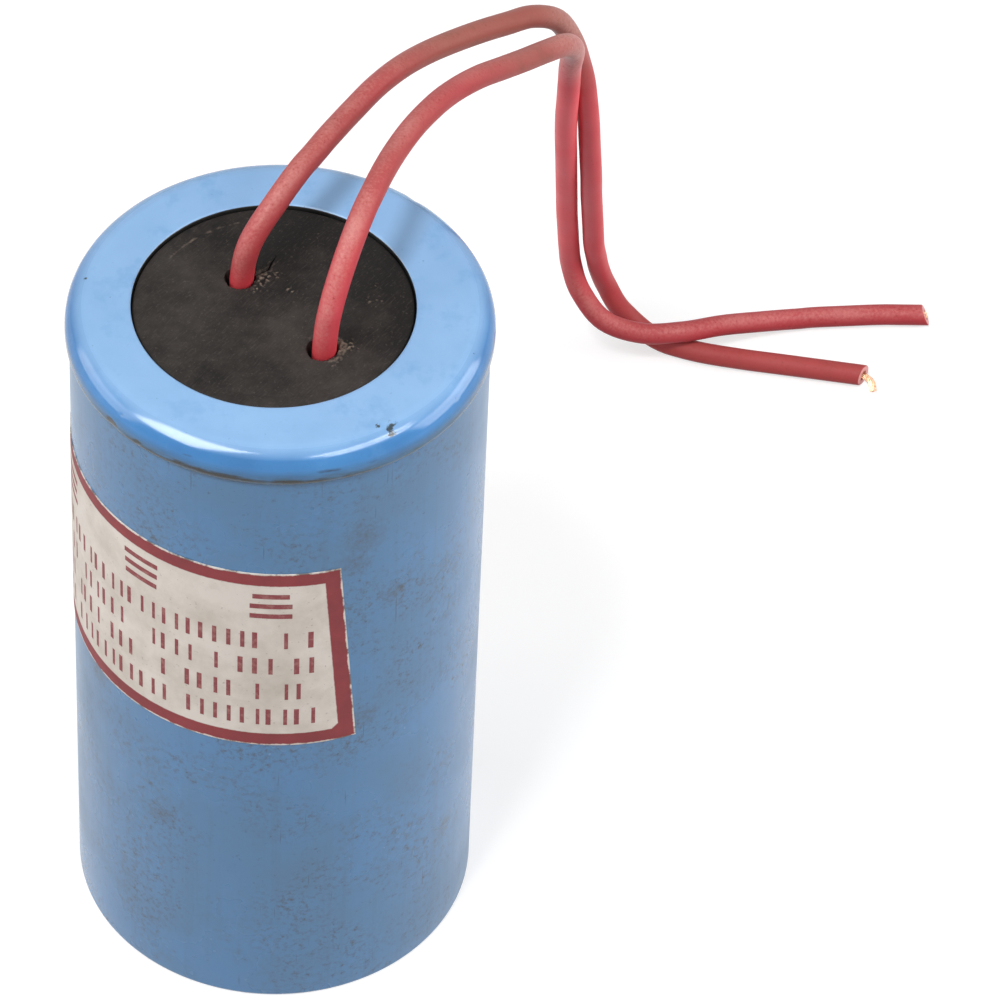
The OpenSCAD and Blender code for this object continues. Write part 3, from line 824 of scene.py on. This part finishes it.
# Each smudge of grime: first and last angle, height above the cap's foot, reach up and down, strength.
SMUDGES = [
    (-30, -9, 0.85, 0.6, 1.1), (-14, 13, 0.7, 0.45, 1.0), (-46, -28, 0.6, 0.38, 0.9),
    (10, 28, 0.6, 0.34, 0.8), (-27, -22, 2.5, 0.3, 0.6), (22, 28, 1.9, 0.5, 0.5), (9, 18, 2.0, 0.35, 0.7),
    (1, 4, 2.2, 0.3, 0.6), (70, 110, 0.6, 0.35, 0.8), (150, 190, 0.7, 0.4, 0.8), (205, 220, 1.6, 0.5, 0.5),
    (240, 275, 0.6, 0.3, 0.7), (-51.6, -48.6, 1.05, 0.6, 2.0), (-41, -39.4, 0.95, 0.4, 1.7),
]
SMUDGE_MARGIN = 4
# Painted shade in the corner round the disc: its strength, and how far past the aperture it reaches.
RIM_SHADE, RIM_SHADE_REACH = 2.0, 0.07


def grime_and_shade_at(point):
    """How grimy the cap is at a place, in millimetres, with painted shade in the corner round the disc."""
    if math.hypot(point.x - APERTURE_X, point.y) < APERTURE_R + RIM_SHADE_REACH:
        return RIM_SHADE
    angle = math.degrees(math.atan2(point.x, -point.y))
    up = point.z - CAP_LOW
    found = 0.0
    for first, last, middle, reach, strength in SMUDGES:
        for turn in (angle, angle + 360):
            here = span(turn, first, last, SMUDGE_MARGIN) * math.exp(-((up - middle) / reach) ** 2)
            found = max(found, strength * here)
    return found if point.xy.length > CAP_R - SHOULDER_R else 0.0


knock_values, grime_and_shade_values = [], []
for vertex in cap.data.vertices:
    felt = 0.0
    grime_and_shade_values.append(grime_and_shade_at(vertex.co / MM))
    for angle, up, reach, depth in KNOCKS:
        a, e = math.radians(angle), math.radians(up)
        middle = Vector((math.sin(a), -math.cos(a), 0)) * (CAP_R - SHOULDER_R * (1 - math.cos(e)))
        middle.z = CAP_TOP - SHOULDER_R * (1 - math.sin(e))
        away = (vertex.co / MM - middle).length
        if away < 2 * reach:
            near = math.exp(-(away / reach) ** 2 * 2)
            vertex.co -= (vertex.co - Vector((0, 0, vertex.co.z))).normalized() * depth * near * MM
            felt = max(felt, near)
    knock_values.append(felt)
cap.data.update()
paint(cap, "knock", knock_values)
paint(cap, "grime_and_shade", grime_and_shade_values)
place(cap, "cap_plastic", "cap_ring")
print("cap:", len(KNOCKS), "knocks and", len(SMUDGES), "smudges")

# %% [markdown]
# Black rubber
# Rubber of this kind is matt, and it browns and gathers dust with age. The dust lies thickest on torn
# edges. A second material there would end in a hard line, so the disc's mesh marks them with a number of
# its own instead.

# %% Rubber material
def rubber_material():
    """Aged black rubber: matt, faintly brown, cloudy with dust, pale on torn edges, painted shade at the
    back.
    """
    material, tree, here = new_material("aged_black_rubber")
    cloud, fleck = [
        add(tree, "ShaderNodeTexNoise",
            {"Vector": here, "Scale": per_mm(size), "Detail": detail, "Roughness": roughness})
        for size, detail, roughness in ((8, 8.0, 0.68), (0.35, 3.0, 0.6))]
    # Painted shade: darker towards the back and the right.
    spot = add(tree, "ShaderNodeSeparateXYZ", {0: here}).outputs
    behind = add(tree, "ShaderNodeMath", {0: spot["X"], 1: spot["Y"]}, operation="ADD")
    back_right_shade = add(tree, "ShaderNodeMapRange", {
        "Value": behind, "From Min": -2 * MM, "From Max": 18 * MM, "To Max": 0.26})
    dust_and_shade = add(tree, "ShaderNodeMath", {0: cloud, 1: back_right_shade}, operation="SUBTRACT")
    black = coat(tree, "#151211", "#383330", dust_and_shade, 0.34, 0.62)
    # Hair-fine scratches, all one way and drawn as coarse as they need to be to show, and flecks.
    drawn = add(tree, "ShaderNodeMapping", {"Vector": here, "Rotation": (0, 0, 0.9),
                                            "Scale": (1.6 * MM, 0.22 * MM, 1 * MM)}, vector_type="TEXTURE")
    hair = add(tree, "ShaderNodeTexNoise", {"Vector": drawn, "Scale": 1.0, "Detail": 3.0, "Roughness": 0.6})
    black = coat(tree, black, "#544e49", hair, 0.54, 0.76, 0.3)
    black = coat(tree, black, "#625b54", fleck, 0.6, 0.78, 0.45)
    torn = add(tree, "ShaderNodeAttribute", attribute_name="dust").outputs["Fac"]
    dust = add(tree, "ShaderNodeMath", {0: torn, 1: fleck}, operation="MULTIPLY")
    black = coat(tree, black, "#77695d", dust, 0.12, 0.5)
    return finish_material(material, tree, black, (cloud, 0, 1, 0.62, 0.9), (fleck, 0.25, 0.1),
                           {"Specular IOR Level": 0.15})


rubber = rubber_material()

# %% [markdown]
# The sealing disc
# The disc's face carries the most telling wear: two holes that the leads have pulled out of round, a tear
# that runs from the left hole, a ragged lip at the right one and crumbs of rubber. A sculpted mesh could do
# it. Here the face is a fine web of rings, and one function says how high each place stands, so each mark
# stays a line that can be read and changed.

# %% Relief of the disc's face
HOLE_R = LEAD_D / MM / 2 + 0.32
HOLE_DEPTH = 3.2
LIP_REACH = 4.5
BOSS_R = APERTURE_R - 0.12
RING_LINE_R = BOSS_R - 1.95
LINE_WORN = (106, 148)
LINE_DEPTH, LINE_HALF_W = 0.07, 0.3
HOLE_RAGGED, HOLE_EDGE = 0.14, 0.22
LIP_OFF, LIP_W = 0.5, 0.55
TEAR_DEPTH, TEAR_W, TEAR_NARROWS = 0.5, 0.2, 0.03
TEAR = [(-3.1, 5.1), (-2.2, 5.8), (-1.5, 6.3), (-1.2, 7.2), (-0.6, 8.5)]
# Each hole: its place, the height of its ragged lip and the side on which the lip stands highest, in
# degrees. A lead that leans away to the right leaves its hole open at the left.
HOLE_SHIFT = Vector((-0.22, 0.12))
HOLES = [(LEFT_HOLE, 0.12, -10), (RIGHT_HOLE, 0.32, 25)]
# Each scatter of crumbs: its place, reach and height.
CRUMBS = [
    (-2.5, 3.7, 0.8, 0.2), (-1.9, 4.7, 0.7, 0.2), (-0.7, 5.1, 0.9, 0.12), (1.3, 2.7, 0.7, 0.14),
    (-2.9, 2.7, 0.5, 0.12), (8.6, -6.2, 1.1, 0.18), (6, -10, 0.7, 0.1), (11.2, 1, 1.2, 0.12),
    (11.4, 3.6, 0.8, 0.1),
]


def to_segment(p, a, b):
    """The distance of a point from a line between two others."""
    along = b - a
    t = min(max((p - a).dot(along) / along.length_squared, 0), 1)
    return (p - a - along * t).length


def disc_relief(x, y):
    """How high the disc's face stands at a place, and how dusty it is. Lengths are in millimetres."""
    here = Vector((x, y))
    rise = 0.03 * noise.noise(Vector((x, y, 3)) * 0.5) + 0.012 * noise.noise(Vector((x, y, 7)) * 2.6)
    # The moulded ring line, worn pale at the back.
    off_line = abs(math.hypot(x - APERTURE_X, y) - RING_LINE_R)
    rise -= LINE_DEPTH * max(0, 1 - off_line / LINE_HALF_W)
    worn = span(math.degrees(math.atan2(y, x - APERTURE_X)), *LINE_WORN, 12)
    clumps = 0.8 + noise.noise(Vector((x, y, 5)) * 1.1)
    dust = (0.15 + 0.45 * worn) * math.exp(-(off_line / 0.2) ** 2) * clumps
    # The holes and their ragged lips.
    for hole_place, lip, side in HOLES:
        off = here - Vector(hole_place) - HOLE_SHIFT
        if off.length > LIP_REACH:
            continue
        angle = math.atan2(off.y, off.x)
        ragged = noise.noise(Vector((math.cos(angle) * 2.2, math.sin(angle) * 2.2, hole_place[0])))
        hole = HOLE_R + HOLE_RAGGED * ragged
        facing = 0.5 + 0.5 * math.cos(angle - math.radians(side))
        crumbly = 0.75 + 0.9 * noise.noise(Vector((x * 2.4, y * 2.4, 11)))
        ridge = math.exp(-((off.length - hole - LIP_OFF) / LIP_W) ** 2) * facing * crumbly
        rise += lip * ridge
        dust += 3.2 * lip * max(ridge, 0)
        deep = min(max((hole + 0.1 - off.length) / HOLE_EDGE, 0), 1)
        rise -= HOLE_DEPTH * deep * deep * (3 - 2 * deep)
    # The tear, narrower towards its end, and the crumbs.
    for k in range(len(TEAR) - 1):
        away = to_segment(here, Vector(TEAR[k]), Vector(TEAR[k + 1]))
        width = TEAR_W - TEAR_NARROWS * k
        rise -= TEAR_DEPTH * max(0, 1 - away / width)
        dust += 0.2 * math.exp(-((away - 0.35) / 0.18) ** 2)
    for crumb_x, crumb_y, reach, high in CRUMBS:
        away = math.hypot(x - crumb_x, y - crumb_y)
        if away < 2 * reach:
            lump = math.exp(-(away / reach) ** 2) * max(0, 2.4 * noise.noise(Vector((x, y, 13)) * 3.2))
            rise += high * lump
            dust += 0.8 * lump
    return rise, min(dust, 1)


# %% Disc
FACE_RINGS = 130
FACE_STEPS = 420
FLANGE_T = 2.0
FLANGE_R = BORE_R - 0.12
EDGE_R = 0.35
flange_top = DISC_LOW + FLANGE_T
sides = [(FLANGE_R, DISC_LOW, 0), (FLANGE_R, flange_top, 0), (BOSS_R, flange_top, APERTURE_X)]
sides += [(r, z, APERTURE_X) for r, z in arc(BOSS_R - EDGE_R, DISC_TOP - EDGE_R, EDGE_R, 0, 90, 5)]
disc_rings = [[Vector((APERTURE_X, 0, DISC_LOW)) * MM]] + [ring(r, z, x, FACE_STEPS) for r, z, x in sides]
disc_dust = [0.0] * sum(len(one) for one in disc_rings)
for k in range(FACE_RINGS - 1, -1, -1):
    web = ring((BOSS_R - EDGE_R) * k / FACE_RINGS, DISC_TOP, APERTURE_X, FACE_STEPS if k else 1)
    for point in web:
        rise, dust = disc_relief(point.x / MM, point.y / MM)
        point.z += rise * MM
        disc_dust.append(dust)
    disc_rings.append(web)
disc = skin("sealing_disc_face", disc_rings, rubber, sharp_degrees=60)
paint(disc, "dust", disc_dust)
place(disc, "sealing_rubber", "sealing_disc")
print("disc:", len(disc.data.polygons), "faces")

# %% [markdown]
# Printed paper
# The label is thin paper with a dark red frame printed round it. An image could hold it, but it would blur
# close up. Instead the mesh keeps its place on the paper, in millimetres, as a texture map, and the frame
# is drawn by distance from the paper's edge. It is worn: the print has rubbed off along the very edge, and
# the paper is stained.

# %% Label material
LABEL_H = 30.4
LABEL_T = 0.1
LABEL_GLUE = 0.01
LABEL_LEAN = 4.4
LABEL_RIGHT = 20.0
LABEL_ANGLE = 142.0
LABEL_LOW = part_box("paper_label")[0][2] / MM
LABEL_R = CASE_R + LABEL_GLUE + LABEL_T
LABEL_W = math.radians(LABEL_ANGLE) * LABEL_R
FRAME_W = 2.1
SLANT_W = 5.0


def label_material():
    """Stained cream paper with a dark red printed frame that is rubbed along the edge."""
    material, tree, here = new_material("printed_cream_paper")
    fibre, rub, stain = [
        add(tree, "ShaderNodeTexNoise",
            {"Vector": here, "Scale": per_mm(size), "Detail": detail, "Roughness": roughness})
        for size, detail, roughness in ((0.5, 4.0, 0.5), (2.2, 6.0, 0.7), (7, 8.0, 0.65))]
    spot = add(tree, "ShaderNodeSeparateXYZ", {0: add(tree, "ShaderNodeUVMap", uv_map="paper_mm")}).outputs
    across, up = spot["X"], spot["Y"]
    # The distance from the nearest edge of the paper.
    far = add(tree, "ShaderNodeMath", {0: LABEL_W, 1: across}, operation="SUBTRACT")
    down = add(tree, "ShaderNodeMath", {0: LABEL_H, 1: up}, operation="SUBTRACT")
    rim = across
    for other in (far, up, down):
        rim = add(tree, "ShaderNodeMath", {0: rim, 1: other}, operation="MINIMUM")
    # The frame's inner edge is a little ragged, and its lower right corner is filled in with a slant.
    ragged = add(tree, "ShaderNodeMath", {0: fibre, 1: 0.14, 2: rim}, operation="MULTIPLY_ADD")
    diagonal = add(tree, "ShaderNodeMath", {0: across, 1: up}, operation="ADD")
    border, slant = [
        add(tree, "ShaderNodeMapRange", {"Value": distance, "From Min": inner, "From Max": outer})
        for distance, inner, outer in ((ragged, FRAME_W + 0.12, FRAME_W),
                                       (diagonal, SLANT_W + 0.1, SLANT_W - 0.1))]
    framed = add(tree, "ShaderNodeMath", {0: border, 1: slant}, operation="MAXIMUM")
    # It is rubbed off along the outside, in a ragged line.
    rub_reach = add(tree, "ShaderNodeMapRange", {"Value": rub, "From Min": 0.4, "From Max": 0.72,
                                                 "To Min": 0.1, "To Max": 0.34})
    rub_off = add(tree, "ShaderNodeMath", {0: rim, 1: rub_reach}, operation="SUBTRACT")
    # Paper: cream, with grey stains and a few dark specks.
    paper = coat(tree, "#d8cfc6", "#bdb2a7", stain, 0.4, 0.72)
    paper = coat(tree, paper, "#8d7d72", fibre, 0.66, 0.74, 0.55)
    ink = coat(tree, "#822c31", "#6f282c", stain, 0.4, 0.72)
    paper = coat(tree, paper, ink, rub_off, -0.05, 0.05, times=framed)
    # Darker in a broken line along the very edge, where the rubbing hasn't reached.
    brink = add(tree, "ShaderNodeMapRange", {"Value": rim, "From Min": 0.22, "From Max": 0.08})
    paper = coat(tree, paper, "#4a3f3b", rub, 0.52, 0.42, 0.85, times=brink)
    return finish_material(material, tree, paper, (stain, 0, 1, 0.5, 0.75), (fibre, 0.1, 0.1), {"IOR": 1.45})


label_paper = label_material()

# %% [markdown]
# The label
# The paper is a thin sheet that follows the wall. A plane could be bent round by a modifier, but the right
# edge leans, so each row of points starts at its own angle and all rows end at the same one round the back.

# %% Label
COLUMNS = 150
ROWS = 30


def label_angle(share, height):
    """The angle from the front, to the right, at a share of the label's width and a height on it."""
    right = math.radians(LABEL_RIGHT) - (height - LABEL_H / 2) * math.tan(math.radians(LABEL_LEAN)) / LABEL_R
    left = math.radians(LABEL_RIGHT - LABEL_ANGLE)
    return right + (left - right) * share


sheet_points, sheet_map = [], []
for radius in (LABEL_R, LABEL_R - LABEL_T):
    for j in range(ROWS + 1):
        for i in range(COLUMNS + 1):
            share, height = i / COLUMNS, LABEL_H * j / ROWS
            sheet_points.append(on_wall(radius, label_angle(share, height), LABEL_LOW + height))
            sheet_map.append((share * LABEL_W, height))
wide = COLUMNS + 1
back = wide * (ROWS + 1)
sheet_faces = []
for j in range(ROWS):
    for i in range(COLUMNS):
        a = j * wide + i
        sheet_faces.append((a, a + wide, a + wide + 1, a + 1))
        sheet_faces.append((back + a, back + a + 1, back + a + wide + 1, back + a + wide))
rim_walk = [i for i in range(COLUMNS)] + [j * wide + COLUMNS for j in range(ROWS)]
rim_walk += [ROWS * wide + i for i in range(COLUMNS, 0, -1)] + [j * wide for j in range(ROWS, 0, -1)]
for a, b in zip(rim_walk, rim_walk[1:] + rim_walk[:1]):
    sheet_faces.append((a, b, back + b, back + a))
label = mesh_piece("label", sheet_points, sheet_faces, label_paper)
uv = label.data.uv_layers.new(name="paper_mm")
for loop in label.data.loops:
    uv.data[loop.index].uv = sheet_map[loop.vertex_index]
place(label, "label_paper", "paper_label")
print("label:", len(label.data.polygons), "faces")

# %% [markdown]
# Plain bars for the print
# Rows of plain bars stand for the label's print: thin upright bars for the lines and wide flat ones for the
# heading. Each row is the same rule repeated: bars of random width, a little off an even pitch, a few left
# out as gaps, laid out flat and then wrapped on the wall. Geometry Nodes does this with a fixed seed, so
# the rows come out the same each time.

# %% Print material and tree
BAR_LENGTHS = ("Pitch", "Row pitch", "Bar height", "Narrowest", "Widest", "Jitter", "Start")


def ink_material():
    """Dark red printing ink, thin enough for the paper's stains to show."""
    material, tree, here = new_material("dark_red_ink")
    wear = add(tree, "ShaderNodeTexNoise", {"Vector": here, "Scale": per_mm(0.8), "Detail": 5.0})
    red = coat(tree, "#7e3236", "#9c6863", wear, 0.5, 0.75)
    return finish_material(material, tree, red, (wear, 0, 1, 0.5, 0.7))


def print_tree():
    """A tree that lays out rows of bars and wraps them on a wall. The base object's own mesh isn't used."""
    tree, given = rule_tree("rows_of_bars", "Base", ("Bars", "Rows", "Seed"),
                            (*BAR_LENGTHS, "Gaps", "Lowest", "Wall radius", "Right edge"), "Rows of bars")
    # A flat layout: one point for each bar, X across the label and Y up it.
    columns, rows = [
        add(tree, "GeometryNodeMeshLine", {
            "Count": given[count], "Offset": add(tree, "ShaderNodeCombineXYZ", {axis: given[pitch]})},
            mode="OFFSET")
        for count, axis, pitch in (("Bars", "X", "Pitch"), ("Rows", "Y", "Row pitch"))]
    spread = add(tree, "GeometryNodeInstanceOnPoints", {"Points": rows, "Instance": columns})
    layout = add(tree, "GeometryNodeRealizeInstances", {0: spread})
    gap = add(tree, "FunctionNodeRandomValue", {"Probability": given["Gaps"], "Seed": given["Seed"]},
              data_type="BOOLEAN")
    kept = add(tree, "GeometryNodeDeleteGeometry", {"Geometry": layout, "Selection": gap}, domain="POINT")
    other_way = add(tree, "ShaderNodeMath", {0: given["Jitter"], 1: -1.0}, operation="MULTIPLY")
    stray, width = [
        add(tree, "FunctionNodeRandomValue", {2: least, 3: most, "Seed": given["Seed"]}, data_type="FLOAT")
        for least, most in ((other_way, given["Jitter"]), (given["Narrowest"], given["Widest"]))]
    shift = add(tree, "ShaderNodeCombineXYZ", {"X": stray})
    strewn = add(tree, "GeometryNodeSetPosition", {"Geometry": kept, "Offset": shift})
    bar = add(tree, "GeometryNodeMeshGrid", {"Size X": 1.0, "Size Y": 1.0, "Vertices X": 7, "Vertices Y": 2})
    size = add(tree, "ShaderNodeCombineXYZ", {"X": width, "Y": given["Bar height"], "Z": 1.0})
    bars = add(tree, "GeometryNodeInstanceOnPoints", {"Points": strewn, "Instance": bar, "Scale": size})
    flat = add(tree, "GeometryNodeRealizeInstances", {0: bars})
    # Wrap: the distance across turns into an angle round the wall.
    spot = add(tree, "ShaderNodeSeparateXYZ", {0: add(tree, "GeometryNodeInputPosition")}).outputs
    across = add(tree, "ShaderNodeMath", {0: spot["X"], 1: given["Start"]}, operation="ADD")
    turn = add(tree, "ShaderNodeMath", {0: across, 1: given["Wall radius"]}, operation="DIVIDE")
    angle = add(tree, "ShaderNodeMath", {0: given["Right edge"], 1: turn}, operation="SUBTRACT")
    right, ahead = [
        add(tree, "ShaderNodeMath", {0: add(tree, "ShaderNodeMath", {0: angle}, operation=part),
                                     1: given["Wall radius"]}, operation="MULTIPLY")
        for part in ("SINE", "COSINE")]
    to_front = add(tree, "ShaderNodeMath", {0: ahead, 1: -1.0}, operation="MULTIPLY")
    high = add(tree, "ShaderNodeMath", {0: spot["Y"], 1: given["Lowest"]}, operation="ADD")
    wrapped = add(tree, "ShaderNodeCombineXYZ", {"X": right, "Y": to_front, "Z": high})
    moved = add(tree, "GeometryNodeSetPosition", {"Geometry": flat, "Position": wrapped})
    turned = add(tree, "GeometryNodeFlipFaces", {0: moved})
    return end_rule(tree, turned, given["Finish"])


ink = ink_material()
bar_rows = print_tree()
print("tree:", bar_rows.name)

# %% Print
PRINT_R = LABEL_R + 0.015


def print_rows(name, **given):
    """Rows of bars on the label. Lengths are in millimetres, heights from the label's lower edge."""
    base = mesh_piece(name + "_base", [(0, 0, 0)], [], ink)
    values = {key.replace("_", " ").capitalize(): value for key, value in given.items()}
    for key in BAR_LENGTHS:
        values[key] *= MM
    values.update({"Lowest": (LABEL_LOW + given["lowest"]) * MM, "Wall radius": PRINT_R * MM,
                   "Right edge": math.radians(LABEL_RIGHT), "Finish": ink})
    piece = by_nodes(name, base, bar_rows, values)
    place(piece, "label_paper")
    print(name, len(piece.data.polygons), "faces")


print_rows("print_heading", bars=3, rows=3, seed=3, pitch=17.0, row_pitch=1.7, bar_height=0.8,
           narrowest=4.2, widest=5.2, gaps=0.0, jitter=0.0, start=9.5, lowest=23.1)
print_rows("print_lines", bars=32, rows=4, seed=23, pitch=1.7, row_pitch=4.55, bar_height=2.8,
           narrowest=0.4, widest=0.65, gaps=0.16, jitter=0.3, start=4.4, lowest=5.1)

# %% [markdown]
# What lies inside
# The pieces inside the can could be made again, but none shows, so they stay as the frame has them and only
# take a finish. Each finish is two tones of its real material mixed by noise, at the size of that
# material's own grain.

# %% Finishes of the inner pieces
def grained_material(name, low, high, grain, rough, metal):
    """Two tones of one material, mixed by its own grain in millimetres."""
    material, tree, here = new_material(name)
    pattern = add(tree, "ShaderNodeTexNoise", {"Vector": here, "Scale": per_mm(grain), "Detail": 5.0})
    colour = coat(tree, low, high, pattern, 0.35, 0.65)
    return finish_material(material, tree, colour, (pattern, 0, 1, rough - 0.1, rough + 0.1),
                           (pattern, 0.15, 0.2), {"Metallic": metal})


# Each finish: name, two tones, grain in millimetres, roughness, metal or not, and the pieces that take it.
INNER_FINISHES = [
    ("metallised_film_edges", "#b9b6a8", "#d3d0c4", 0.4, 0.35, 0.6, ("film_winding",)),
    ("cream_core_plastic", "#dcd7cb", "#ece8df", 3.0, 0.45, 0.0, ("core_tube",)),
    ("sprayed_zinc", "#7f8284", "#9ea1a3", 0.3, 0.6, 0.9, ("top_end_spray", "bottom_end_spray")),
    ("amber_wrap_film", "#cdbc78", "#e0d29a", 6.0, 0.25, 0.0, ("outer_wrap",)),
    ("brown_pressboard", "#66533a", "#7b6747", 0.8, 0.8, 0.0, ("bottom_pad", "top_card")),
    ("annealed_copper", "#a8683f", "#c4865a", 2.0, 0.35, 1.0,
     ("riser_strip", "lead_left_tail", "lead_right_tail")),
    ("dull_solder", "#9a9c9b", "#b4b6b5", 0.7, 0.4, 1.0,
     ("lead_left_solder", "lead_right_solder", "bottom_solder")),
    ("dark_resin", "#3f3223", "#544331", 5.0, 0.3, 0.0, ("potting_compound",)),
]
for *look, nodes in INNER_FINISHES:
    finish = grained_material(*look)
    for node in nodes:
        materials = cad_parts[node].data.materials
        materials.clear()
        materials.append(finish)
print("inner finishes:", len(INNER_FINISHES))
